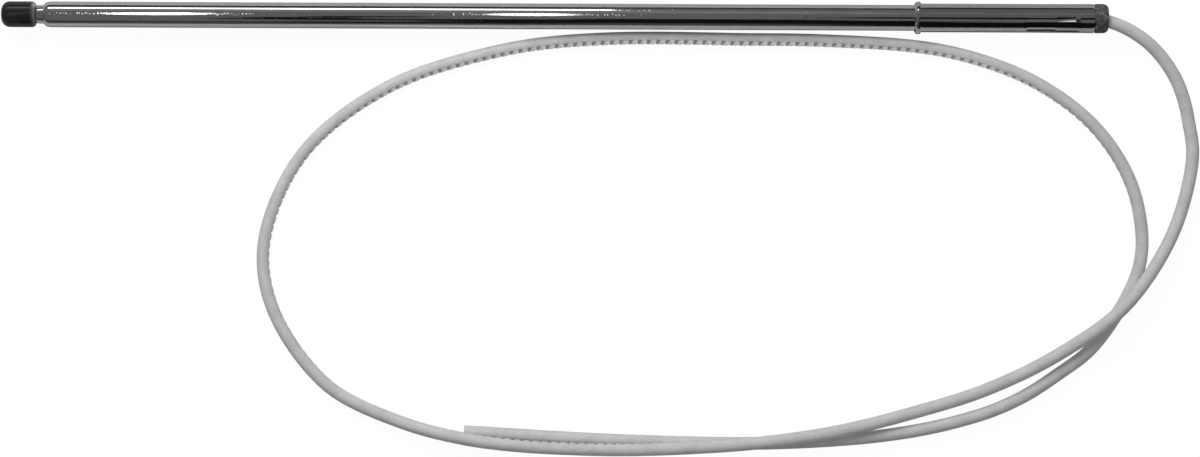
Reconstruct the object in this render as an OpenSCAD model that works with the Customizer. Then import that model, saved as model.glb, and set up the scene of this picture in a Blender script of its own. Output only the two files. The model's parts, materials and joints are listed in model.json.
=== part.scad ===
// Car mast aerial with four telescopic sections, closed, and its toothed drive cord laid out in loops.
// Sizes are millimetres. +X runs along the mast from the tip to the end where the cord comes out,
// +Z is up, and the whole thing lies on a floor at z = 0.

/* [Mast] */
// Closed length from the tip to the end of the stop collar
mast_length = 309.4; // [305:0.2:314]
// Outside diameter of the outer tube
tube_diameter = 7.2; // [7.1:0.05:7.3]
// Wall thickness of every tube
tube_wall = 0.25; // [0.22:0.01:0.27]
// Diameter of the solid tip rod
rod_diameter = 3.2; // [3.1:0.05:3.3]
// Radial room between the second and third sections
section_gap = 0.23; // [0.2:0.01:0.25]
// Radial room between a rolled mouth and the section inside it
mouth_gap = 0.08; // [0.06:0.01:0.09]
// Radial running clearance of stop rings, springs and bushes
running_gap = 0.03; // [0.02:0.01:0.05]
// Room left where two parts rest against each other
rest_gap = 0.05; // [0.03:0.01:0.08]
// Length of the rolled mouth of the outer tube
outer_mouth = 1.9; // [1.7:0.1:2.1]
// Length of the rolled mouths of the second and third sections
inner_mouth = 1.2; // [1.0:0.1:1.4]
// Length of the second section that shows between cap and outer tube
neck_length = 2.3; // [2.1:0.1:2.6]

/* [Tip cap] */
// Length of the tip cap
cap_length = 9.6; // [9.2:0.1:10]
// Diameter of the tip cap
cap_diameter = 7.22; // [7.1:0.02:7.4]
// Rounding at the front of the cap
cap_front_round = 2.2; // [1.8:0.1:2.4]
// Rounding at the back of the cap
cap_back_round = 1.15; // [1:0.05:1.2]
// Thickness of the plastic in front of the ferrule
cap_nose = 1.5; // [1.2:0.1:1.8]
// Depth of the recess that takes the mouth of the third section
cap_recess = 2.4; // [2.2:0.1:2.6]
// Width of each groove round the ferrule
ferrule_groove = 0.8; // [0.6:0.1:1]

/* [Bottom ends of the sections] */
// Length from the stop ring of a section to its lower end
group_length = 27; // [26:0.5:28]
// Length of each stop ring
ring_length = 2; // [1.6:0.1:2.4]
// Length of each contact spring
spring_length = 14; // [13:0.5:15]
// Length of each base bush
bush_length = 5; // [4.5:0.1:5.5]
// Length by which a base bush stands past its tube
bush_overhang = 0.8; // [0.6:0.1:0.9]
// Number of slits in each contact spring
spring_slits = 6; // [4:1:8]
// Width of each slit in a contact spring
slit_width = 0.4; // [0.3:0.05:0.5]
// Distance from the end of the collar to the lower end of the third section
third_depth = 7.3; // [7.1:0.1:7.5]
// Length of the crimped cord anchor
anchor_length = 6.6; // [6.2:0.1:7]
// Length of rod held inside the cord anchor
anchor_grip = 3; // [2.6:0.1:3.4]
// Diameter of the rivet through the cord anchor
rivet_diameter = 0.8; // [0.6:0.1:1]

/* [Contact sleeve] */
// Length of the contact sleeve with its flange
sleeve_length = 50.2; // [48:0.2:52]
// Wall thickness of the contact sleeve
sleeve_wall = 0.3; // [0.26:0.01:0.32]
// Radial clearance between the sleeve and the outer tube
sleeve_gap = 0.1; // [0.08:0.01:0.12]
// Height of the flange above the sleeve
flange_rim = 0.55; // [0.5:0.01:0.6]
// Length of the flange along the mast
flange_length = 1.6; // [1.4:0.1:1.8]
// Width of each window
window_width = 1.8; // [1.6:0.1:2]
// Length of each window
window_length = 14.7; // [13.7:0.1:15.7]
// Solid band between the windows and the end of the sleeve
window_band = 4.3; // [4:0.1:4.6]
// Length of the spring tongue in each window
tongue_length = 6.7; // [6:0.1:7.4]
// Width of each spring tongue
tongue_width = 1.3; // [1.1:0.05:1.4]
// Thickness of each spring tongue
tongue_thickness = 0.2; // [0.16:0.01:0.22]
// Turn of the first window away from straight up in degrees
window_turn = 8; // [4:1:12]
// Angle between the two windows on each side of the sleeve
window_spread = 49; // [45:1:55]
// Swell of the sleeve near its end
sleeve_swell = 0.06; // [0.04:0.01:0.1]

/* [Stop collar] */
// Length of the stop collar
collar_length = 3.8; // [3.6:0.1:4]
// Diameter of the stop collar
collar_diameter = 8.2; // [8.1:0.05:8.3]
// Length of the rounding at the front of the collar
collar_front_round = 0.5; // [0.4:0.05:0.6]
// Length of the collar past the end of the outer tube
collar_lip = 2.1; // [2:0.1:2.2]
// Radius of the hole through the collar where the sections rest on it
collar_hole_radius = 2.5; // [2.45:0.05:2.6]
// Radius of the flared mouth of the collar
collar_mouth_radius = 2.95; // [2.9:0.05:3]

/* [Drive cord] */
// Diameter of the drive cord over its teeth
cord_diameter = 3.6; // [3.5:0.02:3.64]
// Radial room round the cord in the third section
cord_clearance = 0.07; // [0.05:0.01:0.09]
// Distance from the end of the collar to the start of the cord
cord_reach = 7.9; // [7.7:0.1:8.1]
// Room between the start of the cord and its anchor
cord_end_gap = 0.12; // [0.1:0.01:0.15]
// Room between the two turns where they cross
crossing_gap = 0.15; // [0.1:0.05:0.25]
// Number of sides of the cord's outline
cord_sides = 8; // [6:1:10]
// Distance along the cord from one ring of its outline to the next
ring_spacing = 12; // [10:0.5:14]

/* [Hidden] */
$fn = 96;
cut = 0.05;
arc_steps = 6;

cord_radius = cord_diameter / 2;
tube_radius = tube_diameter / 2;
tube_bore = tube_radius - tube_wall;
rod_radius = rod_diameter / 2;
third_bore = cord_radius + cord_clearance;
third_radius = third_bore + tube_wall;
second_bore = third_radius + section_gap;
second_radius = second_bore + tube_wall;

sleeve_bore = tube_radius + sleeve_gap;
sleeve_radius = sleeve_bore + sleeve_wall;
flange_radius = sleeve_radius + flange_rim;
axis_height = flange_radius;

cap_radius = cap_diameter / 2;
recess_room = 0.18;
ferrule_radius = third_radius + recess_room;
ferrule_back = cap_length - cap_recess;
ferrule_bevel = 0.3;
groove_depth = 0.25;
groove_fronts = [cap_nose + 1.2, cap_nose + 3];

anchor_play = 0.02;
anchor_radius = third_bore - running_gap - anchor_play;

third_front = ferrule_back + rest_gap;
second_front = cap_length + rest_gap;
tube_front = second_front + neck_length;

collar_front = mast_length - collar_length;
tube_end = mast_length - collar_lip;
second_end = tube_end - rest_gap;
third_end = mast_length - third_depth + bush_overhang;
anchor_end = mast_length - cord_reach - cord_end_gap;
anchor_front = anchor_end - anchor_length;
rivet_place = anchor_front + anchor_grip / 2;

sleeve_end = collar_front - rest_gap;
sleeve_front = sleeve_end - sleeve_length;
flange_back = sleeve_front + flange_length;
window_end = sleeve_end - window_band;
window_front = window_end - window_length;

// The cord from its start inside the mast until it nears the floor: x from the end of the mast,
// y, and how much of the drop from the axis of the mast is still to come.
run_out = [
    [-cord_reach, 0, 1], [-2.9, -0.12, 1], [2.4, -1.5, 1], [7.4, -3.9, 0.94], [12.2, -7.4, 0.83],
    [16.6, -12.3, 0.64], [20.4, -18.8, 0.4], [23.1, -28, 0.14]
];

// The rest of the cord: x from the end of the mast, y, and the lift as a share of one cord's thickness.
// The first turn passes over the second one in two long low humps and lies on the free end.
loops = [
    [24.2, -41, 0.02], [18.3, -62, 0.35], [5.7, -80.8, 0.98], [-12.3, -93.8, 0.8], [-32.9, -104, 0.4],
    [-53.6, -110.3, 0.4], [-77.2, -115.7, 0.92], [-104.3, -119.8, 1], [-130.4, -121.5, 0.9],
    [-156.9, -121.3, 0.7], [-179.9, -119, 0.68], [-198.5, -113.6, 0.2], [-218.9, -103, 0],
    [-233.4, -82.5, 0], [-235.6, -61, 0], [-223.9, -37.3, 0], [-199.5, -19.6, 0], [-169.9, -10.4, 0],
    [-140.9, -7, 0], [-105.9, -6.1, 0], [-66.9, -7.1, 0], [-30.9, -13.5, 0], [-11.4, -23, 0],
    [2, -36, 0], [9.6, -52, 0], [10, -70.4, 0], [-1, -90.1, 0], [-13.1, -99.8, 0], [-35.9, -111.2, 0],
    [-68.9, -117.6, 0], [-128.9, -118.8, 0], [-179.7, -116, 0]
];

route = concat(
    [for (p = run_out) [mast_length / 2 + p[0], p[1], cord_radius + p[2] * (axis_height - cord_radius)]],
    [for (p = loops) [mast_length / 2 + p[0], p[1], cord_radius + p[2] * (cord_diameter + crossing_gap)]]
);

// Places a shape drawn along +Z so that it runs along the mast, with zero at the tip.
module on_mast() {
    translate([-mast_length / 2, 0, axis_height]) rotate([0, 90, 0]) children();
}

// Turns a shape about the mast, from straight up towards -Y.
module turned(angle) {
    rotate([0, 0, 180 + angle]) children();
}

// Quarter arc from the first point, where it is square to the mast, to the second, where it runs along it.
function quarter(s0, r0, s1, r1) = [
    for (i = [0 : arc_steps]) let (a = 90 * i / arc_steps)
        [r0 + (r1 - r0) * sin(a), s0 + (s1 - s0) * (1 - cos(a))]
];

function reversed(list) = [for (i = [len(list) - 1 : -1 : 0]) list[i]];

// A tube with its front end rolled in to a narrower mouth.
module rolled_tube(front, end, radius, wall, mouth_radius, mouth_length) {
    on_mast() rotate_extrude() polygon(concat(
        quarter(front, mouth_radius, front + mouth_length, radius),
        [[radius, end], [radius - wall, end]],
        reversed(quarter(front + wall, mouth_radius, front + mouth_length, radius - wall))
    ));
}

// A plain ring with small bevels on its outer edges.
module ring(front, length, inner, outer, bevel = 0.05) {
    on_mast() rotate_extrude() polygon([
        [inner, front], [outer - bevel, front], [outer, front + bevel],
        [outer, front + length - bevel], [outer - bevel, front + length], [inner, front + length]
    ]);
}

// A slit sleeve that bows outwards in the middle to press on the bore round it.
module contact_spring(front, inner, outer) {
    band = spring_length * 0.16;
    strip = (outer - inner) * 0.45;
    crest = spring_length * 0.12;
    middle = front + spring_length / 2;
    on_mast() difference() {
        rotate_extrude() polygon([
            [inner, front], [inner + strip, front], [inner + strip, front + band],
            [outer, middle - crest], [outer, middle + crest],
            [inner + strip, front + spring_length - band], [inner + strip, front + spring_length],
            [inner, front + spring_length], [inner, front + spring_length - band],
            [outer - strip, middle + crest], [outer - strip, middle - crest], [inner, front + band]
        ]);
        for (i = [0 : spring_slits - 1]) rotate([0, 0, i * 360 / spring_slits])
            translate([0, -slit_width / 2, front + band])
                cube([outer + cut, slit_width, spring_length - 2 * band]);
    }
}

module outer_tube() {
    color([0.82, 0.83, 0.85])
        rolled_tube(tube_front, tube_end, tube_radius, tube_wall, second_radius + mouth_gap, outer_mouth);
}

module stop_collar() {
    radius = collar_diameter / 2;
    front_face = 0.08;
    round_length = collar_length * 0.4;
    rim_radius = collar_mouth_radius + 0.15;
    throat_radius = collar_mouth_radius - 0.1;
    throat_length = 0.3;
    color([0.13, 0.13, 0.14]) on_mast() rotate_extrude() polygon(concat(
        [[tube_radius, collar_front]],
        quarter(collar_front, tube_radius + front_face, collar_front + collar_front_round, radius),
        [[radius, mast_length - round_length]],
        [
            for (i = [1 : arc_steps]) let (a = 90 * i / arc_steps)
                [
                    rim_radius + (radius - rim_radius) * cos(a),
                    mast_length - round_length * (1 - sin(a))
                ]
        ],
        [
            [collar_mouth_radius, mast_length], [throat_radius, mast_length - throat_length],
            [collar_hole_radius, tube_end], [tube_radius, tube_end]
        ]
    ));
}

module contact_sleeve() {
    edge = 0.1;
    rim_front = sleeve_front + flange_length * 0.6;
    swollen = sleeve_radius + sleeve_swell;
    rolled_edge = 0.35;
    color([0.78, 0.79, 0.81]) on_mast() {
        difference() {
            rotate_extrude() polygon(concat(
                [[sleeve_bore + edge, sleeve_front], [sleeve_radius - edge, sleeve_front]],
                quarter(sleeve_front + edge, sleeve_radius, rim_front, flange_radius),
                [
                    [flange_radius, flange_back - 2 * edge], [flange_radius - edge, flange_back],
                    [sleeve_radius, flange_back], [sleeve_radius, window_front - 1],
                    [swollen, sleeve_end - rolled_edge], [swollen - edge, sleeve_end - edge],
                    [sleeve_bore + edge, sleeve_end], [sleeve_bore, sleeve_end],
                    [sleeve_bore, sleeve_front + edge]
                ]
            ));
            at_windows() translate([0, -window_width / 2, window_front])
                cube([flange_radius, window_width, window_length]);
        }
        intersection() {
            tongue_shell();
            at_windows() translate([0, -tongue_width / 2, 0])
                cube([flange_radius, tongue_width, mast_length]);
        }
    }
}

// Turns a shape to the place of each window: two on one side of the sleeve and two opposite them.
module at_windows() {
    for (side = [0, 180], turn = [0, window_spread]) turned(window_turn + side + turn) children();
}

// The shell that the spring tongues are cut from: it steps down from the wall of the sleeve at the
// end of the windows and then runs just clear of the outer tube.
module tongue_shell() {
    tip_gap = 0.04;
    step_length = 1.2;
    knee = window_end + 0.15;
    root = window_end + 0.4;
    low = tube_radius + tip_gap;
    high = sleeve_radius - tongue_thickness;
    free_end = window_end - tongue_length;
    step = window_end - step_length;
    rotate_extrude() polygon([
        [low, free_end], [low + tongue_thickness, free_end], [low + tongue_thickness, step],
        [sleeve_radius, knee], [sleeve_radius, root], [high, root], [high, knee], [low, step]
    ]);
}

module section_2_tube() {
    color([0.82, 0.83, 0.85])
        rolled_tube(second_front, second_end - bush_overhang, second_radius, tube_wall,
            third_radius + mouth_gap, inner_mouth);
}

module section_2_stop_ring() {
    color([0.72, 0.56, 0.3])
        ring(second_end - group_length, ring_length, second_radius, tube_bore - running_gap, bevel = 0.1);
}

module section_2_contact_spring() {
    color([0.75, 0.5, 0.3])
        contact_spring(second_end - group_length + ring_length, second_radius, tube_bore - running_gap);
}

module section_2_base_bush() {
    color([0.72, 0.56, 0.3])
        ring(second_end - bush_length, bush_length, second_radius, tube_bore - running_gap, bevel = 0.15);
}

module section_3_tube() {
    color([0.82, 0.83, 0.85])
        rolled_tube(third_front, third_end - bush_overhang, third_radius, tube_wall,
            rod_radius + mouth_gap, inner_mouth);
}

module section_3_stop_ring() {
    color([0.72, 0.56, 0.3])
        ring(third_end - group_length, ring_length, third_radius, second_bore - running_gap);
}

module section_3_contact_spring() {
    color([0.75, 0.5, 0.3])
        contact_spring(third_end - group_length + ring_length, third_radius, second_bore - running_gap);
}

module section_3_base_bush() {
    color([0.72, 0.56, 0.3])
        ring(third_end - bush_length, bush_length, third_radius, second_bore - running_gap);
}

module tip_rod() {
    color([0.8, 0.81, 0.83]) on_mast() difference() {
        translate([0, 0, cap_nose]) cylinder(r = rod_radius, h = anchor_front + anchor_grip - cap_nose);
        rivet_body(rod_diameter + 2 * cut);
    }
}

module tip_rod_stop_ring() {
    color([0.72, 0.56, 0.3])
        ring(anchor_end - group_length, ring_length, rod_radius, third_bore - running_gap);
}

module tip_rod_contact_spring() {
    color([0.75, 0.5, 0.3])
        contact_spring(anchor_end - group_length + ring_length, rod_radius, third_bore - running_gap);
}

// A cylinder as thick as the rivet, across the mast at the rivet's place.
module rivet_body(length) {
    translate([0, 0, rivet_place]) rotate([0, 90, 0])
        cylinder(d = rivet_diameter, h = length, center = true);
}

module cord_anchor() {
    edge = 0.1;
    floor_front = anchor_front + anchor_grip;
    crimp_start = floor_front + 0.6;
    crimp_end = crimp_start + 1.1;
    crimp_slope = 0.2;
    crimp_radius = anchor_radius - 0.15;
    color([0.76, 0.6, 0.32]) on_mast() difference() {
        rotate_extrude() polygon([
            [0, floor_front], [rod_radius, floor_front], [rod_radius, anchor_front],
            [anchor_radius - edge, anchor_front], [anchor_radius, anchor_front + edge],
            [anchor_radius, crimp_start], [crimp_radius, crimp_start + crimp_slope],
            [crimp_radius, crimp_end - crimp_slope], [anchor_radius, crimp_end],
            [anchor_radius, anchor_end - edge], [anchor_radius - edge, anchor_end], [0, anchor_end]
        ]);
        rivet_body(2 * (anchor_radius + cut));
    }
}

module anchor_rivet() {
    inset = 0.04;
    color([0.7, 0.7, 0.72]) on_mast() rivet_body(2 * (anchor_radius - inset));
}

// The grooved outline where the ferrule and the plastic moulded round it meet, from the nose backwards.
function grooved_outline() = [
    [ferrule_radius - ferrule_bevel, cap_nose], [ferrule_radius, cap_nose + ferrule_bevel],
    for (front = groove_fronts) each [
        [ferrule_radius, front], [ferrule_radius - groove_depth, front],
        [ferrule_radius - groove_depth, front + ferrule_groove], [ferrule_radius, front + ferrule_groove]
    ]
];

module tip_ferrule() {
    color([0.76, 0.6, 0.32]) on_mast() rotate_extrude() polygon(concat(
        [[rod_radius, cap_nose]], grooved_outline(),
        [[ferrule_radius, ferrule_back], [rod_radius, ferrule_back]]
    ));
}

// The rounded front of the cap, from its flat nose to its side.
function cap_front() = [
    for (i = [0 : arc_steps]) let (a = 90 * i / arc_steps)
        [cap_radius - cap_front_round * (1 - sin(a)), cap_front_round * (1 - cos(a))]
];

// The rounded back of the cap, from its side to its flat end.
function cap_back() = [
    for (i = [0 : arc_steps]) let (a = 90 * i / arc_steps)
        [cap_radius - cap_back_round * (1 - cos(a)), cap_length - cap_back_round * (1 - sin(a))]
];

module tip_cap() {
    color([0.05, 0.05, 0.055]) on_mast() rotate_extrude() polygon(concat(
        [[0, 0]], cap_front(), cap_back(),
        [[ferrule_radius, cap_length]], reversed(grooved_outline()), [[0, cap_nose]]
    ));
}

// The point of the smooth curve through the route at share t of the leg that starts at point i.
function route_at(i, t) =
    let (
        n = len(route),
        b = route[i], c = route[min(i + 1, n - 1)],
        a = i > 0 ? route[i - 1] : 2 * b - c,
        d = i + 2 < n ? route[i + 2] : 2 * c - b
    )
    0.5 * (2 * b + (c - a) * t + (2 * a - 5 * b + 4 * c - d) * t * t
        + (3 * b - a - 3 * c + d) * t * t * t);

// How many rings the leg that starts at point i gets.
function rings_in(i) = max(1, round(norm(route[i + 1] - route[i]) / ring_spacing));

// The vector v brought to length one.
function unit(v) = v / norm(v);

module drive_cord() {
    legs = len(route) - 1;
    centres = concat(
        [for (i = [0 : legs - 1]) let (n = rings_in(i)) for (k = [0 : n - 1]) route_at(i, k / n)],
        [route[legs]]
    );
    last = len(centres) - 1;
    points = [
        for (i = [0 : last])
            let (
                along = unit(centres[min(i + 1, last)] - centres[max(i - 1, 0)]),
                side = unit(cross(along, [0, 0, 1])),
                above = cross(side, along)
            )
            for (k = [0 : cord_sides - 1]) let (a = 360 * (k + 0.5) / cord_sides)
                centres[i] + cord_radius * (cos(a) * side + sin(a) * above)
    ];
    walls = [
        for (i = [0 : last - 1], k = [0 : cord_sides - 1])
            let (
                p = i * cord_sides + k, q = i * cord_sides + (k + 1) % cord_sides,
                r = p + cord_sides, s = q + cord_sides
            )
            for (f = [[p, q, s], [p, s, r]]) f
    ];
    start = [for (k = [cord_sides - 1 : -1 : 0]) k];
    finish = [for (k = [0 : cord_sides - 1]) last * cord_sides + k];
    color([0.8, 0.81, 0.8]) polyhedron(points, concat(walls, [start], [finish]));
}

outer_tube();
stop_collar();
drive_cord();
contact_sleeve();
section_2_tube();
section_2_stop_ring();
section_2_contact_spring();
section_2_base_bush();
section_3_tube();
section_3_stop_ring();
section_3_contact_spring();
section_3_base_bush();
tip_rod();
tip_rod_stop_ring();
tip_rod_contact_spring();
cord_anchor();
anchor_rivet();
tip_ferrule();
tip_cap();
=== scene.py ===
"""Looks of a closed car mast aerial and its toothed drive cord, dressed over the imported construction.

Everything is in metres in the frame of the construction: +X runs along the mast from the tip to the
end where the cord comes out, +Z is up, and the mast and the cord lie on the floor at z = 0.
"""

from __future__ import annotations

import json
import logging
import math
from bisect import bisect_right
from dataclasses import dataclass, field
from enum import Enum
from typing import Any, Iterator, Sequence, Union

import bpy
from mathutils import Vector
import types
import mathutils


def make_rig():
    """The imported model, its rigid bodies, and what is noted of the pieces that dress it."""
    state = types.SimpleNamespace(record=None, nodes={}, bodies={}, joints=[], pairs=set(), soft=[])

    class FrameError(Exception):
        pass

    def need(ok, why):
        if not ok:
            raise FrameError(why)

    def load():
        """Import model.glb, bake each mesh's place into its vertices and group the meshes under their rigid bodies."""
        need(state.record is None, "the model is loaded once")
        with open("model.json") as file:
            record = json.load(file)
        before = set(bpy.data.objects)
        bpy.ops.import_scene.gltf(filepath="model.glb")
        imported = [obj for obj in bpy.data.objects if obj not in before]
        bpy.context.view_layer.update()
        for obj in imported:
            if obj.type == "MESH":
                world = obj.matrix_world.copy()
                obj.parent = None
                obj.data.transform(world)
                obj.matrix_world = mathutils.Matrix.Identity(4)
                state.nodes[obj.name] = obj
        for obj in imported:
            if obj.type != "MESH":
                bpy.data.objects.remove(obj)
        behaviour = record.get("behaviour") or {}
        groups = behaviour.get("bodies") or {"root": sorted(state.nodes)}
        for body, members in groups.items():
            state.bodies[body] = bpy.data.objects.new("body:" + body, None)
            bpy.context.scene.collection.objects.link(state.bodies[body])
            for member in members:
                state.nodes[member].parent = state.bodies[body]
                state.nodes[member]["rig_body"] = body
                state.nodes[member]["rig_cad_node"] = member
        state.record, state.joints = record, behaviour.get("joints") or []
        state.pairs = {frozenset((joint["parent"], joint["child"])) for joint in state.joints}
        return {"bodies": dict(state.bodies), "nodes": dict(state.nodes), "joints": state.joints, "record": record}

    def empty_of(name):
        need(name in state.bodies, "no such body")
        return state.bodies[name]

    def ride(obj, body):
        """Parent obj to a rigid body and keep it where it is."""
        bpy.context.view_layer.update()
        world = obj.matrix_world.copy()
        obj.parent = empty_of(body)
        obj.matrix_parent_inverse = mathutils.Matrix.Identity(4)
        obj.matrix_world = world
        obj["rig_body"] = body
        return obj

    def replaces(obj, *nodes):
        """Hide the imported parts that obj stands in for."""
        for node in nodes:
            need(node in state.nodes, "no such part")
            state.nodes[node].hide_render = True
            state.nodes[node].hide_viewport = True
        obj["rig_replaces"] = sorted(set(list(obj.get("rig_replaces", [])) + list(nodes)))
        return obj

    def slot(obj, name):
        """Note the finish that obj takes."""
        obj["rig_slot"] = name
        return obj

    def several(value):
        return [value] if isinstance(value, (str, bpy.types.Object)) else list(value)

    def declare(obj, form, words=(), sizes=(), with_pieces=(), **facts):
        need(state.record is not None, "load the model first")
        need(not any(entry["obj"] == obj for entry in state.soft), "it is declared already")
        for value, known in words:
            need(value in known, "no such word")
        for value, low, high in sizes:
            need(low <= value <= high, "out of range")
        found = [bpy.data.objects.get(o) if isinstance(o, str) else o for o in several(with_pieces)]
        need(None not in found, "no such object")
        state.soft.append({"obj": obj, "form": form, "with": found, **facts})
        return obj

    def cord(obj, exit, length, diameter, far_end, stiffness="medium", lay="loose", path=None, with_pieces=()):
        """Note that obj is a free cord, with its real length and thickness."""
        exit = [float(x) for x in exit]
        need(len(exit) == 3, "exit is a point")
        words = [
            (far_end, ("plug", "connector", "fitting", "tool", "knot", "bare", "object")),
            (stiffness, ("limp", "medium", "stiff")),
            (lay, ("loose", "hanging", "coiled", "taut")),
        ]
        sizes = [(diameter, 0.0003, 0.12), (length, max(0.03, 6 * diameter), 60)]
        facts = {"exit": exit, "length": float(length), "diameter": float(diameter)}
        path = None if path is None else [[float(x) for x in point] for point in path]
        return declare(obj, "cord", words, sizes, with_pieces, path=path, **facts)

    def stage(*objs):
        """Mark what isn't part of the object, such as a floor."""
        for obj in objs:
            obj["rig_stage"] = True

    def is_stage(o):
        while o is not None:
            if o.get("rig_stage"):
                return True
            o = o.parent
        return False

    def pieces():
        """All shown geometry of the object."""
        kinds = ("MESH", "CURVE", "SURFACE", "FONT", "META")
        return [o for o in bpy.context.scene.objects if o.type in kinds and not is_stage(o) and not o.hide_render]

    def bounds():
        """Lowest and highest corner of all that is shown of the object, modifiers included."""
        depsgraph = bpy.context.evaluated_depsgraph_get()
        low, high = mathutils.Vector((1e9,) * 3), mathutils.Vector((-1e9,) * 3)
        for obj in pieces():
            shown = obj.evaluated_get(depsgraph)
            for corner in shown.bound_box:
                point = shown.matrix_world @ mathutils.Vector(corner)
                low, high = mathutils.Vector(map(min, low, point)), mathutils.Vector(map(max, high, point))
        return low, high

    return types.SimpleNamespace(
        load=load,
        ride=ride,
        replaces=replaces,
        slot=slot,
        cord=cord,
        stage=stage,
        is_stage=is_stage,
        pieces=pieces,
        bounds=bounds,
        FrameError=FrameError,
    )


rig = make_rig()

LOG = logging.getLogger("mast_aerial")
SIZE_FILE = "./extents.json"
MM = 0.001
UP = Vector((0.0, 0.0, 1.0))
AXIS_HEIGHT = 4.55 * MM

Colour = tuple[float, float, float]
Number = Union[int, float]
Range = tuple[float, float]

WHITE: Colour = (1.0, 1.0, 1.0)


class Slot(Enum):
    """Material slots of the record that the pieces take their finish from."""

    TUBE = "tube_chrome"
    SLEEVE = "sleeve_chrome"
    COLLAR = "collar_dark"
    CORD = "cord_nylon"
    BRASS = "ring_brass"
    BRONZE = "spring_bronze"
    ROD = "rod_steel"
    RIVET = "rivet_steel"
    CAP = "cap_black"


class LampShape(Enum):
    """Outlines of the lamps."""

    BOX = "RECTANGLE"
    OVAL = "ELLIPSE"


class Wire:
    """An output socket that can be used in Python arithmetic."""

    def __init__(self, shader: "Shader", socket: bpy.types.NodeSocket) -> None:
        """Keeps the shader that the socket belongs to and the socket itself."""
        self.shader = shader
        self.socket = socket

    def _math(self, operation: str, *values: Union["Wire", Number]) -> "Wire":
        """Adds one Math node.

        Args:
            operation: Name of the Math node's operation.
            values: Its inputs in order.

        Returns:
            The node's result.
        """
        inputs = dict(enumerate(values))
        return self.shader.add("ShaderNodeMath", {"operation": operation}, inputs)

    def __add__(self, other: Union["Wire", Number]) -> "Wire":
        """self + other."""
        return self._math("ADD", self, other)

    def __radd__(self, other: Number) -> "Wire":
        """other + self."""
        return self._math("ADD", other, self)

    def __sub__(self, other: Union["Wire", Number]) -> "Wire":
        """self - other."""
        return self._math("SUBTRACT", self, other)

    def __rsub__(self, other: Number) -> "Wire":
        """other - self."""
        return self._math("SUBTRACT", other, self)

    def __mul__(self, other: Union["Wire", Number]) -> "Wire":
        """self * other."""
        return self._math("MULTIPLY", self, other)

    def __rmul__(self, other: Number) -> "Wire":
        """other * self."""
        return self._math("MULTIPLY", other, self)

    def __pow__(self, other: Number) -> "Wire":
        """self to the power of other."""
        return self._math("POWER", self, other)

    def over(self, limit: Number) -> "Wire":
        """1 where the value is above the limit, else 0."""
        return self._math("GREATER_THAN", self, limit)

    def absolute(self) -> "Wire":
        """The value without its sign."""
        return self._math("ABSOLUTE", self)

    def lean(self, other: "Wire") -> "Wire":
        """Angle in degrees whose tangent is self over other."""
        return self._math("ARCTAN2", self, other) * math.degrees(1.0)

    def fade(self, low: Number, high: Number) -> "Wire":
        """Smooth step from 0 at low to 1 at high."""
        settings = {"interpolation_type": "SMOOTHSTEP"}
        inputs = {"Value": self, "From Min": low, "From Max": high}
        return self.shader.add("ShaderNodeMapRange", settings, inputs)


class Shader:
    """A node tree under construction, for a material or for the world."""

    # A Mix node has sockets of one name for each type of data, so those for colours go by number.
    MIX_SHARE, MIX_LOW, MIX_HIGH, MIX_RESULT = 0, 6, 7, 2

    def __init__(self, tree: bpy.types.NodeTree, output: str) -> None:
        """Empties the tree and adds its output node.

        Args:
            tree: The node tree.
            output: Type name of the output node.
        """
        self.tree = tree
        self.tree.nodes.clear()
        self.output = tree.nodes.new(output)

    def add(self, kind: str, settings: dict[str, Any], inputs: dict[Any, Any], out: Any = 0) -> Wire:
        """Adds one node.

        Args:
            kind: Type name of the node.
            settings: Its own settings, set first.
            inputs: Values or wires by the socket's name or number.
            out: Name or number of the output that is wanted.

        Returns:
            That output.
        """
        node = self.tree.nodes.new(kind)
        for name, value in settings.items():
            setattr(node, name, value)
        for key, value in inputs.items():
            if isinstance(value, Wire):
                self.tree.links.new(value.socket, node.inputs[key])
            elif isinstance(value, tuple) and node.inputs[key].type == "RGBA":
                node.inputs[key].default_value = (*value, 1.0)
            else:
                node.inputs[key].default_value = value
        return Wire(self, node.outputs[out])

    def parts(self, vector: Wire) -> tuple[Wire, Wire, Wire]:
        """Splits a vector into its X, Y and Z."""
        split = self.add("ShaderNodeSeparateXYZ", {}, {"Vector": vector}).socket.node
        return tuple(Wire(self, output) for output in split.outputs)

    def mix(self, share: Union[Wire, float], low: Any, high: Any) -> Wire:
        """Mixes two colours.

        Args:
            share: 0 for the first colour and 1 for the second.
            low: First colour, a tuple or a wire.
            high: Second colour, a tuple or a wire.

        Returns:
            The mixed colour.
        """
        settings = {"data_type": "RGBA"}
        inputs = {self.MIX_SHARE: share, self.MIX_LOW: low, self.MIX_HIGH: high}
        return self.add("ShaderNodeMix", settings, inputs, out=self.MIX_RESULT)

    def blend(self, share: Wire, low: Wire, high: Wire) -> Wire:
        """Mixes two surfaces: the first where the share is 0 and the second where it is 1."""
        return self.add("ShaderNodeMixShader", {}, {0: share, 1: low, 2: high})

    def attribute(self, name: str) -> Wire:
        """The number that a mesh keeps under a name."""
        return self.add("ShaderNodeAttribute", {"attribute_name": name}, {}, out="Fac")

    def end_with(self, surface: Wire) -> None:
        """Links the finished surface to the output node."""
        self.tree.links.new(surface.socket, self.output.inputs["Surface"])


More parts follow.
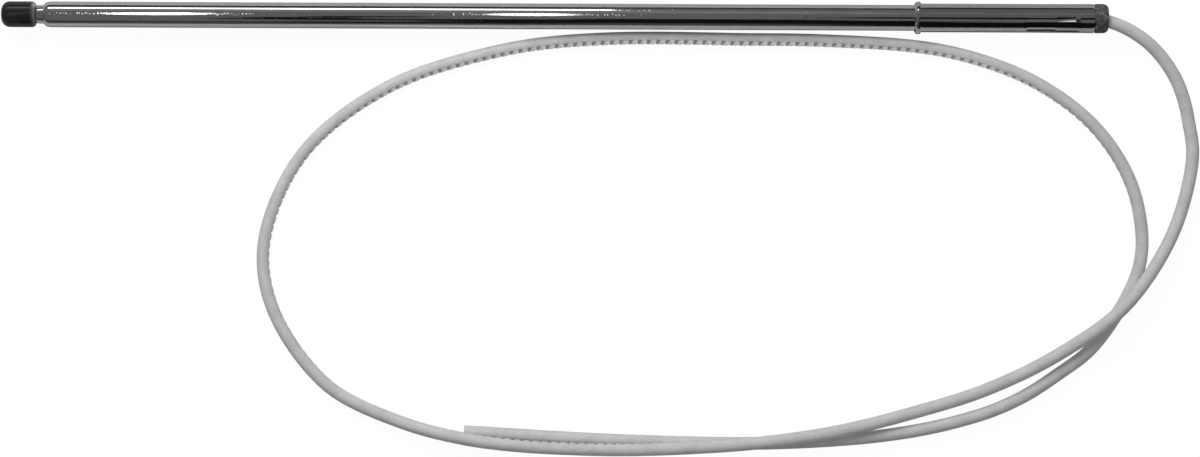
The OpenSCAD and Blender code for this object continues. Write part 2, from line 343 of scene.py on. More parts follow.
@dataclass(frozen=True)
class Grain:
    """A noise from 0 to 1 that a finish reads.

    Attributes:
        along: How many of its features fit in a metre along the mast.
        across: How many fit in a metre across it.
        detail: Number of finer layers.
        roughness: Strength of the finer layers.
    """

    along: float
    across: float
    detail: float
    roughness: float

    def read(self, shader: Shader, place: Wire) -> Wire:
        """Adds the noise.

        Args:
            shader: The tree to add to.
            place: Object coordinates in metres.

        Returns:
            The noise.
        """
        scale = self.along
        if self.along != self.across:
            stretch = (self.along, self.across, self.across)
            place = shader.add("ShaderNodeMapping", {}, {"Vector": place, "Scale": stretch})
            scale = 1.0
        inputs = {"Vector": place, "Scale": scale, "Detail": self.detail, "Roughness": self.roughness}
        return shader.add("ShaderNodeTexNoise", {}, inputs)


class Finish:
    """Base of every finish: it makes one material and lends it a Principled shader."""

    name: str

    def material(self) -> bpy.types.Material:
        """Builds the material.

        Returns:
            The new material.
        """
        made = bpy.data.materials.new(self.name)
        made.use_nodes = True
        shader = Shader(made.node_tree, "ShaderNodeOutputMaterial")
        place = shader.add("ShaderNodeTexCoord", {}, {}, out="Object")
        shader.end_with(self.surface(shader, place))
        return made

    def surface(self, shader: Shader, place: Wire) -> Wire:
        """Builds the surface shader; each finish has its own.

        Args:
            shader: The tree to add to.
            place: Object coordinates in metres.

        Returns:
            The surface.
        """
        raise NotImplementedError

    @staticmethod
    def principled(shader: Shader, **inputs: Any) -> Wire:
        """Adds the Principled shader.

        Args:
            shader: The tree to add to.
            inputs: Socket values, with underscores for the spaces of the socket names.

        Returns:
            The surface.
        """
        named = {key.replace("_", " "): value for key, value in inputs.items()}
        return shader.add("ShaderNodeBsdfPrincipled", {}, named)

    @staticmethod
    def bump(shader: Shader, height: Wire, depth: float, strength: float = 1.0) -> Wire:
        """Turns a height into a normal.

        Args:
            shader: The tree to add to.
            height: Height as a share of the depth.
            depth: What a height of 1 stands for, in metres.
            strength: Share of the effect.

        Returns:
            The normal.
        """
        inputs = {"Height": height, "Distance": depth, "Strength": strength}
        return shader.add("ShaderNodeBump", {}, inputs, out="Normal")


@dataclass(frozen=True)
class ChromePlate(Finish):
    """Bright plating on a drawn tube.

    Attributes:
        name: Name of the material.
        tone: Colour of clean plate.
        dull_tone: Colour of plate that is wiped or pitted.
        gloss: Roughness of clean plate.
        lines: Draw lines along the tube.
        wipes: Faint wipe marks, shown over the part of the noise that wipe_range gives.
        pits: Small pits, where the noise is above pit_limit.
        dimples: Shallow dimples that bend the reflections.
    """

    name: str
    tone: Colour
    dull_tone: Colour
    gloss: float
    lines: Grain = Grain(25.0, 5200.0, 2.0, 0.6)
    line_depth: float = 0.4e-6
    line_roughness: float = 0.02
    wipes: Grain = Grain(60.0, 260.0, 4.0, 0.62)
    wipe_range: Range = (0.48, 0.72)
    wipe_dulling: float = 0.55
    wipe_roughness: float = 0.03
    pits: Grain = Grain(5200.0, 5200.0, 1.0, 0.4)
    pit_limit: float = 0.725
    pit_dulling: float = 0.3
    pit_roughness: float = 0.06
    dimples: Grain = Grain(2200.0, 2200.0, 0.0, 0.4)
    dimple_range: Range = (0.6, 0.85)
    dimple_depth: float = 3.5e-6

    def surface(self, shader: Shader, place: Wire) -> Wire:
        """Mirror metal with lines along X and patches that are a little duller.

        Args:
            shader: The tree to add to.
            place: Object coordinates in metres.

        Returns:
            The surface.
        """
        lines = self.lines.read(shader, place)
        wipes = self.wipes.read(shader, place).fade(*self.wipe_range)
        pits = self.pits.read(shader, place).over(self.pit_limit)
        dimples = self.dimples.read(shader, place).fade(*self.dimple_range)
        dulling = wipes * self.wipe_dulling + pits * self.pit_dulling
        marks = lines * self.line_roughness + wipes * self.wipe_roughness + pits * self.pit_roughness
        relief = (lines - pits) * self.line_depth - dimples * self.dimple_depth + self.shape(shader, place)
        return self.principled(
            shader,
            Base_Color=shader.mix(dulling, self.tone, self.dull_tone),
            Metallic=1.0,
            Roughness=marks + self.gloss,
            Normal=self.bump(shader, relief, 1.0),
        )

    def shape(self, shader: Shader, place: Wire) -> Union[Wire, float]:
        """Height in metres of what is pressed or bent into the plated part; a plain tube has none."""
        return 0.0


@dataclass(frozen=True)
class SleevePlate(ChromePlate):
    """Plating of the contact sleeve, whose spring tongues are bent a little out of line.

    Attributes:
        tongue_radius: Radius between the face of a tongue and the face of the sleeve.
        tongue_start: Where the free ends of the tongues lie.
        tongue_fall: How much a tongue falls away for each metre along it.
        tongue_twist: How fast a tongue turns about its length, in radians for each metre along it.
    """

    tongue_radius: float = 3.92 * MM
    tongue_start: float = 139.8 * MM
    tongue_fall: float = 0.05
    tongue_twist: float = 16.0

    def shape(self, shader: Shader, place: Wire) -> Union[Wire, float]:
        """The slight bend and twist of the spring tongues.

        Args:
            shader: The tree to add to.
            place: Object coordinates in metres.

        Returns:
            Height in metres, 0 outside the tongues.
        """
        x, y, z = shader.parts(place)
        up = z - AXIS_HEIGHT
        inside = 1.0 - (y * y + up * up).over(self.tongue_radius**2)
        along = x - self.tongue_start
        return inside * x.over(self.tongue_start) * along * (y * self.tongue_twist - self.tongue_fall)


@dataclass(frozen=True)
class TurnedMetal(Finish):
    """Machined metal.

    Attributes:
        name: Name of the material.
        tone: Colour of clean metal.
        tarnish: Colour of stained metal.
        gloss: Roughness of clean metal.
        rings: Marks of the turning tool round the axis of the mast, about 0.12 mm apart.
        stains: A light tarnish, shown over the part of the noise that stain_range gives.
    """

    name: str
    tone: Colour
    tarnish: Colour
    gloss: float
    rings: Grain = Grain(1 / (0.12 * MM), 90.0, 1.0, 0.5)
    ring_depth: float = 2.5e-6
    ring_darkening: float = 0.15
    ring_roughness: float = 0.12
    stains: Grain = Grain(420.0, 420.0, 4.0, 0.6)
    stain_range: Range = (0.45, 0.75)
    stain_darkening: float = 0.7
    stain_roughness: float = 0.14

    def surface(self, shader: Shader, place: Wire) -> Wire:
        """Metal with fine rings at the pitch of the turning tool.

        Args:
            shader: The tree to add to.
            place: Object coordinates in metres.

        Returns:
            The surface.
        """
        rings = self.rings.read(shader, place)
        stains = self.stains.read(shader, place).fade(*self.stain_range)
        darkening = stains * self.stain_darkening + rings * self.ring_darkening
        return self.principled(
            shader,
            Base_Color=shader.mix(darkening, self.tone, self.tarnish),
            Metallic=1.0,
            Roughness=rings * self.ring_roughness + stains * self.stain_roughness + self.gloss,
            Normal=self.bump(shader, rings, self.ring_depth),
        )


@dataclass(frozen=True)
class RoughCollar(Finish):
    """Dark collar with a coarse skin whose peaks carry pale, shinier specks, painted glints of the rough skin.

    Attributes:
        name: Name of the material.
        tone: Colour of the skin.
        speck_glint: Pale colour of the specks on the peaks of the skin, a painted glint.
        grain: Fine grain of the skin.
        lumps: Its coarser lumps.
        skin_depth: Depth of the two together.
    """

    name: str = "rough_dark_collar"
    tone: Colour = (0.055, 0.055, 0.058)
    speck_glint: Colour = (0.5, 0.5, 0.51)
    grain: Grain = Grain(3600.0, 3600.0, 3.0, 0.65)
    lumps: Grain = Grain(900.0, 900.0, 2.0, 0.5)
    grain_share: float = 0.6
    lump_share: float = 0.4
    skin_depth: float = 0.05 * MM
    skin_strength: float = 0.8
    skin_roughness: float = 0.5
    speck_range: Range = (0.5, 0.7)
    speck_gloss: float = 0.24
    speck_metal: float = 0.5

    def surface(self, shader: Shader, place: Wire) -> Wire:
        """Coarse grain with pale specks on its peaks, painted glints that are also a little glossier and more
        metallic.

        Args:
            shader: The tree to add to.
            place: Object coordinates in metres.

        Returns:
            The surface.
        """
        grain = self.grain.read(shader, place) * self.grain_share
        skin = grain + self.lumps.read(shader, place) * self.lump_share
        # Painted glint: the peaks of the skin are painted pale, and they are also made glossier and more metallic.
        specks = skin.fade(*self.speck_range)
        return self.principled(
            shader,
            Base_Color=shader.mix(specks, self.tone, self.speck_glint),
            Metallic=specks * self.speck_metal,
            Roughness=self.skin_roughness - specks * self.speck_gloss,
            Normal=self.bump(shader, skin, self.skin_depth, self.skin_strength),
        )


@dataclass(frozen=True)
class MouldedCap(Finish):
    """Black moulded plastic, paler at its back edge, most of all on its +Y side: a painted sheen for the light on the
    rounding.

    Attributes:
        name: Name of the material.
        tone: Colour of clean plastic.
        rubbed: Colour of the handling marks.
        painted_edge_sheen: Pale colour of the painted sheen on the rounded back edge.
        peel: Fine orange-peel skin, which also breaks up the painted sheen.
        rubs: Handling marks, shown over the part of the noise that rub_range gives.
        sheen_reach: x where the painted sheen starts and where it is strongest.
        sheen_side: y where the painted sheen starts to grow and where it is strongest.
        sheen_least: Share of the painted sheen on the other side.
    """

    name: str = "moulded_black_cap"
    tone: Colour = (0.013, 0.013, 0.014)
    rubbed: Colour = (0.035, 0.035, 0.037)
    painted_edge_sheen: Colour = (0.8, 0.8, 0.8)
    gloss: float = 0.14
    shine: float = 0.42
    peel: Grain = Grain(1500.0, 1500.0, 2.0, 0.5)
    peel_depth: float = 4e-6
    peel_roughness: float = 0.06
    rubs: Grain = Grain(160.0, 700.0, 5.0, 0.66)
    rub_range: Range = (0.5, 0.74)
    rub_roughness: float = 0.16
    sheen_reach: Range = (-146.9 * MM, -144.5 * MM)
    sheen_side: Range = (1.2 * MM, 2.6 * MM)
    sheen_least: float = 0.4
    sheen_base: float = 0.7
    sheen_spread: float = 0.6
    sheen_roughness: float = 0.4

    def surface(self, shader: Shader, place: Wire) -> Wire:
        """Low-gloss black with a slightly uneven skin.

        Args:
            shader: The tree to add to.
            place: Object coordinates in metres.

        Returns:
            The surface.
        """
        x, y, _ = shader.parts(place)
        peel = self.peel.read(shader, place)
        rubs = self.rubs.read(shader, place).fade(*self.rub_range)
        # Painted sheen: the rounded back edge is painted paler, most on the +Y side that faces the light, in place of
        # the highlight on the rounding.
        side = self.sheen_least + y.fade(*self.sheen_side) * (1 - self.sheen_least)
        broken = self.sheen_base + peel * self.sheen_spread
        painted_sheen = x.fade(*self.sheen_reach) ** 2 * broken * side
        marks = rubs * self.rub_roughness + peel * self.peel_roughness + painted_sheen * self.sheen_roughness
        clean = shader.mix(rubs, self.tone, self.rubbed)
        return self.principled(
            shader,
            Base_Color=shader.mix(painted_sheen, clean, self.painted_edge_sheen),
            Roughness=marks + self.gloss,
            Normal=self.bump(shader, peel, self.peel_depth),
            Specular_IOR_Level=self.shine,
        )


@dataclass(frozen=True)
class CordNylon(Finish):
    """Cloudy nylon that lets some light in, with painted shade in the gaps between the teeth and a painted glow on the
    body and on the crests of the teeth.

    Attributes:
        name: Name of the material.
        clear: Colour of its clearer parts.
        cloudy: Colour of its cloudier parts.
        crest: Pale colour that the thin crests of the teeth turn towards, a painted highlight for light that they let
            through.
        gap: Darker colour that the gaps between the teeth turn towards, painted shade in the notches.
        body_painted_glow: Painted glow of the whole body, an emission that stands in for light that the body lets
            through.
        crest_painted_glow: Painted glow of the crests, an emission that stands in for light of the table that they let
            through.
        painted_glow_strength: Strength of both painted glows.
        clouds: Wide clouds, shown over the part of the noise that cloud_range gives.
        grain: Fine grain, shown over the part of the noise that grain_range gives.
    """

    name: str = "cord_nylon"
    clear: Colour = (0.6, 0.605, 0.6)
    cloudy: Colour = (0.49, 0.495, 0.49)
    crest: Colour = (0.92, 0.925, 0.92)
    gap: Colour = (0.43, 0.435, 0.435)
    body_painted_glow: Colour = (0.06, 0.06, 0.06)
    crest_painted_glow: Colour = (0.3, 0.3, 0.3)
    painted_glow_strength: float = 0.55
    scattered: float = 0.25
    scatter_reach: float = 0.8 * MM
    gloss: float = 0.34
    shine: float = 0.4
    clouds: Grain = Grain(240.0, 240.0, 3.0, 0.55)
    cloud_range: Range = (0.35, 0.7)
    cloud_share: float = 0.55
    cloud_roughness: float = 0.1
    grain: Grain = Grain(1900.0, 1900.0, 2.0, 0.6)
    grain_range: Range = (0.36, 0.64)
    grain_share: float = 0.45
    grain_roughness: float = 0.05
    grain_depth: float = 3e-6
    gap_shade_share: float = 0.85
    crest_paint_share: float = 0.7

    def surface(self, shader: Shader, place: Wire) -> Wire:
        """Cloudy body with painted shade in the gaps; the thin crests of the teeth get a painted highlight and glow
        for light of the table.

        Args:
            shader: The tree to add to.
            place: Object coordinates in metres.

        Returns:
            The surface.
        """
        sunk = shader.attribute(DriveCord.DEPTH)
        crest = shader.attribute(DriveCord.CREST)
        clouds = self.clouds.read(shader, place).fade(*self.cloud_range)
        grain = self.grain.read(shader, place).fade(*self.grain_range)
        body = shader.mix(clouds * self.cloud_share + grain * self.grain_share, self.clear, self.cloudy)
        # Painted highlight: the crests of the teeth turn paler where light would come through them.
        teeth = shader.mix(crest * self.crest_paint_share, body, self.crest)
        marks = clouds * self.cloud_roughness + grain * self.grain_roughness
        return self.principled(
            shader,
            # Painted shade: the gaps between the teeth turn a darker grey.
            Base_Color=shader.mix(sunk * self.gap_shade_share, teeth, self.gap),
            Roughness=marks + self.gloss,
            Normal=self.bump(shader, grain, self.grain_depth),
            Subsurface_Weight=self.scattered,
            Subsurface_Radius=(1.0, 1.0, 1.0),
            Subsurface_Scale=self.scatter_reach,
            Specular_IOR_Level=self.shine,
            # Painted glow: the body and, more so, the crests give off light, which stands in for light passing through
            # the nylon.
            Emission_Color=shader.mix(crest, self.body_painted_glow, self.crest_painted_glow),
            Emission_Strength=self.painted_glow_strength,
        )


@dataclass
class DriveCord:
    """The toothed nylon cord: its route over the floor, its rack of teeth and its cut end.

    Attributes:
        mast_end: x of the mouth of the stop collar.
        diameter: Thickness over the teeth.
        crossing_gap: Room between the turns where they cross.
        pitch: Length of a tooth and its gap.
        notch_depth: Depth of a gap.
        tooth_profile: Shares of the pitch, and the share of the notch depth at each.
        plain_start: Length without teeth inside the anchor.
        plain_end: Shortest length without teeth at the cut end.
        sides: Number of sides of the outline.
        slant: How much the teeth lean along the cord, for each metre away from their middle.
        rack_edges: Angles from the middle of the rack, in degrees, between which the gaps run out.
        smooth_angle: Edges up to this angle, in degrees, are shaded smooth.
        leg_steps: Number of steps of the smooth line between two points of the route.
        path_stride: How many of those steps go into one step of the declared path.
        heading_reach: How far on each side of a point its heading is read.
    """

    DEPTH = "tooth_depth"
    CREST = "tooth_crest"
    BODY = "outer"
    NODE = "drive_cord"

    mast_end: float = 154.7 * MM
    diameter: float = 3.6 * MM
    crossing_gap: float = 0.15 * MM
    pitch: float = 2.6 * MM
    notch_depth: float = 0.42 * MM
    tooth_profile: tuple[tuple[float, float], ...] = ((0.0, 0.0), (0.46, 0.0), (0.56, 1.0), (0.86, 1.0))
    plain_start: float = 6.0 * MM
    plain_end: float = 1.0 * MM
    sides: int = 20
    slant: float = 0.9
    rack_edges: Range = (46.0, 64.0)
    smooth_angle: float = 32.0
    leg_steps: int = 48
    path_stride: int = 6
    heading_reach: float = 0.2 * MM

    # x from the end of the mast, y, and the share of the drop from the mast's axis still to come
    run_out: tuple[tuple[float, float, float], ...] = (
        (-0.0079, 0.0, 1.0), (-0.0029, -0.00012, 1.0), (0.0024, -0.0015, 1.0),
        (0.0074, -0.0039, 0.94), (0.0122, -0.0074, 0.83), (0.0166, -0.0123, 0.64),
        (0.0204, -0.0188, 0.4), (0.0231, -0.028, 0.14),
    )
    # x from the end of the mast, y, and the lift as a share of one cord's thickness
    loops: tuple[tuple[float, float, float], ...] = (
        (0.0242, -0.041, 0.02), (0.0183, -0.062, 0.35), (0.0057, -0.0808, 0.98),
        (-0.0123, -0.0938, 0.8), (-0.0329, -0.104, 0.4), (-0.0536, -0.1103, 0.4),
        (-0.0772, -0.1157, 0.92), (-0.1043, -0.1198, 1.0), (-0.1304, -0.1215, 0.9),
        (-0.1569, -0.1213, 0.7), (-0.1799, -0.119, 0.68), (-0.1985, -0.1136, 0.2),
        (-0.2189, -0.103, 0.0), (-0.2334, -0.0825, 0.0), (-0.2356, -0.061, 0.0),
        (-0.2239, -0.0373, 0.0), (-0.1995, -0.0196, 0.0), (-0.1699, -0.0104, 0.0),
        (-0.1409, -0.007, 0.0), (-0.1059, -0.0061, 0.0), (-0.0669, -0.0071, 0.0),
        (-0.0309, -0.0135, 0.0), (-0.0114, -0.023, 0.0), (0.002, -0.036, 0.0),
        (0.0096, -0.052, 0.0), (0.01, -0.0704, 0.0), (-0.001, -0.0901, 0.0),
        (-0.0131, -0.0998, 0.0), (-0.0359, -0.1112, 0.0), (-0.0689, -0.1176, 0.0),
        (-0.1289, -0.1188, 0.0), (-0.1797, -0.116, 0.0),
    )
    # distance along the cord and the turn of its teeth in degrees, from the inside of the bend upwards
    twist: tuple[tuple[float, float], ...] = (
        (0.0, -95.0), (0.2, -78.0), (0.27, -26.0), (0.31, -58.0), (0.36, -55.0), (0.41, -22.0),
        (0.45, 0.0), (0.53, 8.0), (0.61, 0.0), (0.66, -55.0), (0.7, -85.0), (0.9, -85.0),
    )
    # distance along the cord, and the share of the painted glow and highlight that its crests get there, 0 where the
    # turns lie against each other
    crest_glow_reach: tuple[tuple[float, float], ...] = (
        (0.0, 1.0), (0.2, 1.0), (0.23, 0.0), (0.298, 0.0), (0.308, 1.0), (0.91, 1.0),
    )
    # distance along the cord, and how many millimetres the cord of the picture lies inside and above
    # the line of the solids there
    settling: tuple[tuple[float, float, float], ...] = (
        (0.0, 0.0, 0.0), (0.06, 0.0, 0.0), (0.1, 0.7, 0.0), (0.14, 0.2, 0.0), (0.195, -0.5, 0.0),
        (0.24, 0.35, 0.0), (0.275, 0.6, 0.2), (0.3, 0.75, 0.5), (0.325, 0.0, 0.0), (0.39, 0.0, 0.0),
        (0.45, -0.65, 0.0), (0.495, -1.0, 0.0), (0.55, 0.0, 0.0), (0.57, 0.0, 0.0), (0.6, -1.1, 0.0),
        (0.63, 0.0, 0.0), (0.69, 0.65, 0.0), (0.72, 0.6, 0.0), (0.743, -0.45, 0.0), (0.775, -0.1, 0.0),
        (0.82, -0.65, 0.0), (0.86, -0.15, 0.0), (0.905, -0.5, 0.0),
    )
    route: list[Vector] = field(init=False)
    line: list[Vector] = field(init=False)
    reach: list[float] = field(init=False)

    def __post_init__(self) -> None:
        """Works out the route's points, the smooth line through them and the distance along it."""
        radius = self.diameter / 2
        self.route = [
            Vector((self.mast_end + x, y, radius + share * (AXIS_HEIGHT - radius)))
            for x, y, share in self.run_out
        ] + [
            Vector((self.mast_end + x, y, radius + lift * (self.diameter + self.crossing_gap)))
            for x, y, lift in self.loops
        ]
        steps = self.leg_steps
        self.line = [
            self._on_leg(leg, step / steps) for leg in range(len(self.route) - 1) for step in range(steps)
        ] + [self.route[-1]]
        self._measure()
        self.line = [self._settled(distance) for distance in self.reach]
        self._measure()

    def _measure(self) -> None:
        """Works out how far along the cord each point of the line lies."""
        self.reach = [0.0]
        for here, after in zip(self.line, self.line[1:]):
            self.reach.append(self.reach[-1] + (after - here).length)

    def _settled(self, distance: float) -> Vector:
        """Brings a point of the line to where the picture shows it.

        Args:
            distance: Where the point lies along the line.

        Returns:
            The point's new place.
        """
        inward, upward = self.eased(self.settling, distance)
        side = self.heading(distance).cross(UP).normalized()
        return self.at(distance) + (side * inward + UP * upward) * MM

    def _on_leg(self, leg: int, share: float) -> Vector:
        """One point of the smooth curve through the route.

        Args:
            leg: Number of the route point that the leg starts at.
            share: Share of the leg.

        Returns:
            The point.
        """
        last = len(self.route) - 1
        here, after = self.route[leg], self.route[leg + 1]
        before = self.route[leg - 1] if leg > 0 else 2 * here - after
        beyond = self.route[leg + 2] if leg + 2 <= last else 2 * after - here
        return 0.5 * (
            2 * here
            + (after - before) * share
            + (2 * before - 5 * here + 4 * after - beyond) * share**2
            + (3 * here - before - 3 * after + beyond) * share**3
        )

    @property
    def length(self) -> float:
        """Length of the cord along its middle."""
        return self.reach[-1]

    @property
    def way_out(self) -> Vector:
        """Where the cord leaves the mouth of the stop collar."""
        run_out = self.line[: len(self.run_out) * self.leg_steps]
        return min(run_out, key=lambda point: abs(point.x - self.mast_end))

    def at(self, distance: float) -> Vector:
        """A point of the line.

        Args:
            distance: Where it lies along the line.

        Returns:
            The point.
        """
        index = min(max(bisect_right(self.reach, distance) - 1, 0), len(self.line) - 2)
        span = self.reach[index + 1] - self.reach[index]
        share = (distance - self.reach[index]) / span
        return self.line[index].lerp(self.line[index + 1], min(max(share, 0.0), 1.0))

    def heading(self, distance: float) -> Vector:
        """Direction of the cord at a distance along it."""
        after, before = self.at(distance + self.heading_reach), self.at(distance - self.heading_reach)
        return (after - before).normalized()

    @staticmethod
    def eased(rows: Sequence[tuple[float, ...]], distance: float) -> list[float]:
        """Values of a table at a distance, eased from one row to the next.

        Args:
            rows: A distance and the values there, row by row.
            distance: Where the values are wanted.

        Returns:
            The values.
        """
        for row, after in zip(rows, rows[1:]):
            if distance <= after[0]:
                share = (distance - row[0]) / (after[0] - row[0])
                smooth = share * share * (3 - 2 * share)
                return [low + (high - low) * smooth for low, high in zip(row[1:], after[1:])]
        return list(rows[-1][1:])

    def stations(self) -> Iterator[tuple[float, float]]:
        """Where the rings of the outline lie.

        Returns:
            Pairs of the distance along the cord and the share of the notch depth there.
        """
        yield 0.0, 0.0
        start = self.plain_start
        while start + self.pitch < self.length - self.plain_end:
            for share, depth in self.tooth_profile:
                yield start + share * self.pitch, depth
            start += self.pitch
        yield self.length, 0.0

    def ring(self, distance: float, depth: float) -> Iterator[tuple[Vector, float, float]]:
        """One ring of the outline.

        Args:
            distance: How far along the cord the ring lies.
            depth: Share of the notch depth, 0 on a tooth and 1 in a gap.

        Returns:
            The ring's points, each with how far it lies in a gap and on a crest, from 0 to 1.
        """
        radius = self.diameter / 2
        centre = self.at(distance)
        along = self.heading(distance)
        inside = along.cross(UP).normalized()
        above = inside.cross(along)
        turn = math.radians(self.eased(self.twist, distance)[0])
        tooth = inside * math.cos(turn) + above * math.sin(turn)
        across = above * math.cos(turn) - inside * math.sin(turn)
        inner, outer = self.rack_edges
        slant = self.slant if 0.0 < distance < self.length else 0.0
        for side in range(self.sides):
            angle = 2 * math.pi * ((side + 0.5) / self.sides - 0.5)
            share = min(max((outer - abs(math.degrees(angle))) / (outer - inner), 0.0), 1.0)
            sunk = depth * share
            out = (radius - sunk * self.notch_depth) * math.cos(angle)
            wide = (radius - sunk * self.notch_depth) * math.sin(angle)
            lean = slant * wide * max(math.cos(angle), 0.0)
            yield centre + tooth * out + across * wide + along * lean, sunk, share - sunk

    def build(self) -> bpy.types.Object:
        """Returns:
            The piece.
        """
        vertices: list[Vector] = []
        depths: list[float] = []
        crests: list[float] = []
        for distance, depth in self.stations():
            # Share of the painted crest glow and highlight at this distance along the cord.
            light = self.eased(self.crest_glow_reach, distance)[0]
            for place, sunk, crest in self.ring(distance, depth):
                vertices.append(place)
                depths.append(sunk)
                crests.append(crest * light)
        rings = len(vertices) // self.sides
        faces: list[tuple[int, ...]] = [
            (
                ring * self.sides + side,
                ring * self.sides + (side + 1) % self.sides,
                (ring + 1) * self.sides + (side + 1) % self.sides,
                (ring + 1) * self.sides + side,
            )
            for ring in range(rings - 1)
            for side in range(self.sides)
        ]
        faces.append(tuple(reversed(range(self.sides))))
        faces.append(tuple(range((rings - 1) * self.sides, rings * self.sides)))
        mesh = bpy.data.meshes.new("toothed_cord")
        mesh.from_pydata([tuple(v) for v in vertices], [], faces)
        mesh.attributes.new(self.DEPTH, "FLOAT", "POINT").data.foreach_set("value", depths)
        mesh.attributes.new(self.CREST, "FLOAT", "POINT").data.foreach_set("value", crests)
        cord = bpy.data.objects.new("toothed_cord", mesh)
        bpy.context.scene.collection.objects.link(cord)
        Pieces.smooth(cord, math.radians(self.smooth_angle))
        Pieces.dress(cord, CordNylon().material())
        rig.ride(cord, self.BODY)
        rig.replaces(cord, self.NODE)
        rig.slot(cord, Slot.CORD.value)
        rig.cord(
            cord,
            exit=self.way_out,
            length=round(self.length, 3),
            diameter=self.diameter,
            far_end="bare",
            stiffness="stiff",
            lay="loose",
            path=self.line[:: self.path_stride] + [self.line[-1]],
        )
        return cord


class Pieces:
    """Small helpers that every sub-assembly uses."""

    @staticmethod
    def only(piece: bpy.types.Object) -> None:
        """Deselects everything else and makes the piece the active one."""
        bpy.ops.object.select_all(action="DESELECT")
        piece.select_set(True)
        bpy.context.view_layer.objects.active = piece

    @classmethod
    def smooth(cls, piece: bpy.types.Object, angle: float) -> None:
        """Shades the piece smooth, apart from edges sharper than the angle."""
        cls.only(piece)
        bpy.ops.object.shade_smooth_by_angle(angle=angle)

    @staticmethod
    def dress(piece: bpy.types.Object, material: bpy.types.Material) -> None:
        """Gives the piece this one material."""
        piece.data.materials.clear()
        piece.data.materials.append(material)


@dataclass
class Mast:
    """The metal and plastic parts of the mast, which keep their construction meshes.

    Attributes:
        nodes: The nodes of the construction by name.
        members: Names of the nodes in each slot.
        finishes: The finish of each slot.
    """

    nodes: dict[str, bpy.types.Object]
    members: tuple[tuple[Slot, tuple[str, ...]], ...] = (
        (Slot.TUBE, ("outer_tube", "section_2_tube", "section_3_tube")),
        (Slot.SLEEVE, ("contact_sleeve",)),
        (Slot.COLLAR, ("stop_collar",)),
        (Slot.ROD, ("tip_rod",)),
        (Slot.BRASS, ("section_2_stop_ring", "section_3_stop_ring", "tip_rod_stop_ring")),
        (Slot.BRASS, ("section_2_base_bush", "section_3_base_bush", "cord_anchor", "tip_ferrule")),
        (Slot.BRONZE, ("section_2_contact_spring", "section_3_contact_spring")),
        (Slot.BRONZE, ("tip_rod_contact_spring",)),
        (Slot.RIVET, ("anchor_rivet",)),
        (Slot.CAP, ("tip_cap",)),
    )
    finishes: tuple[tuple[Slot, Finish], ...] = (
        (Slot.TUBE, ChromePlate("tube_plate", (0.78, 0.79, 0.80), (0.62, 0.63, 0.65), 0.025)),
        (Slot.SLEEVE, SleevePlate("sleeve_plate", (0.66, 0.67, 0.69), (0.5, 0.51, 0.53), 0.05)),
        (Slot.COLLAR, RoughCollar()),
        (Slot.ROD, ChromePlate("rod_plate", (0.76, 0.77, 0.79), (0.6, 0.61, 0.63), 0.03)),
        (Slot.BRASS, TurnedMetal("turned_brass", (0.78, 0.58, 0.27), (0.42, 0.28, 0.12), 0.2)),
        (Slot.BRONZE, TurnedMetal("rolled_bronze", (0.74, 0.45, 0.24), (0.38, 0.2, 0.1), 0.24)),
        (Slot.RIVET, TurnedMetal("rivet_steel", (0.6, 0.6, 0.61), (0.35, 0.34, 0.33), 0.26)),
        (Slot.CAP, MouldedCap()),
    )

    def build(self) -> None:
        """Dresses every node of the mast in the finish of its slot."""
        materials = {slot: finish.material() for slot, finish in self.finishes}
        for slot, names in self.members:
            for name in names:
                Pieces.dress(self.nodes[name], materials[slot])
                LOG.info("dressed %s in %s", name, materials[slot].name)


@dataclass(frozen=True)
class Panel:
    """A darker or lighter panel of the room round the table, which only polished metal shows.

    Attributes:
        lean: Its middle in degrees from straight above, positive towards +Y.
        half: Half of its width in degrees.
        tone: Its brightness.
        span: X part of the view from the mast where it starts and ends.
        fade: How much of that X part it takes to come and go.
        soft: Width of its soft edge in degrees.
    """

    lean: float
    half: float
    tone: float
    span: tuple[float, float] = (-2.0, 2.0)
    fade: float = 0.02
    soft: float = 6.0

    def over(self, shader: Shader, tone: Union[Wire, Colour], lean: Wire, x: Wire) -> Wire:
        """Lays the panel over what is there.

        Args:
            shader: The world's tree.
            tone: Colour of the room so far.
            lean: Lean of the view in degrees.
            x: X part of the view.

        Returns:
            The colour with the panel.
        """
        start, end = self.span
        away = (lean - self.lean).absolute()
        share = away.fade(self.half + self.soft / 2, self.half - self.soft / 2)
        share = share * x.fade(start, start + self.fade) * x.fade(end, end - self.fade)
        return shader.mix(share, tone, (self.tone, self.tone, self.tone))


@dataclass(frozen=True)
class Lamp:
    """An area lamp.

    Attributes:
        name: Name of the lamp.
        place: Where it hangs.
        size: Its two sides.
        radiance: How bright its face is.
        aim: The point it faces.
        shape: Its outline.
        in_mirrors: Whether polished metal shows it.
    """

    name: str
    place: tuple[float, float, float]
    size: tuple[float, float]
    radiance: float
    aim: tuple[float, float, float] = (0.0, -0.04, 0.0)
    shape: LampShape = LampShape.BOX
    in_mirrors: bool = True

    def build(self) -> None:
        """Hangs the lamp."""
        width, height = self.size
        data = bpy.data.lights.new(self.name, "AREA")
        data.shape = self.shape.value
        data.size, data.size_y = width, height
        data.energy = self.radiance * math.pi * width * height
        lamp = bpy.data.objects.new(self.name, data)
        lamp.location = self.place
        facing = Vector(self.aim) - Vector(self.place)
        lamp.rotation_euler = facing.to_track_quat("-Z", "Y").to_euler()
        lamp.visible_glossy = self.in_mirrors
        bpy.context.scene.collection.objects.link(lamp)


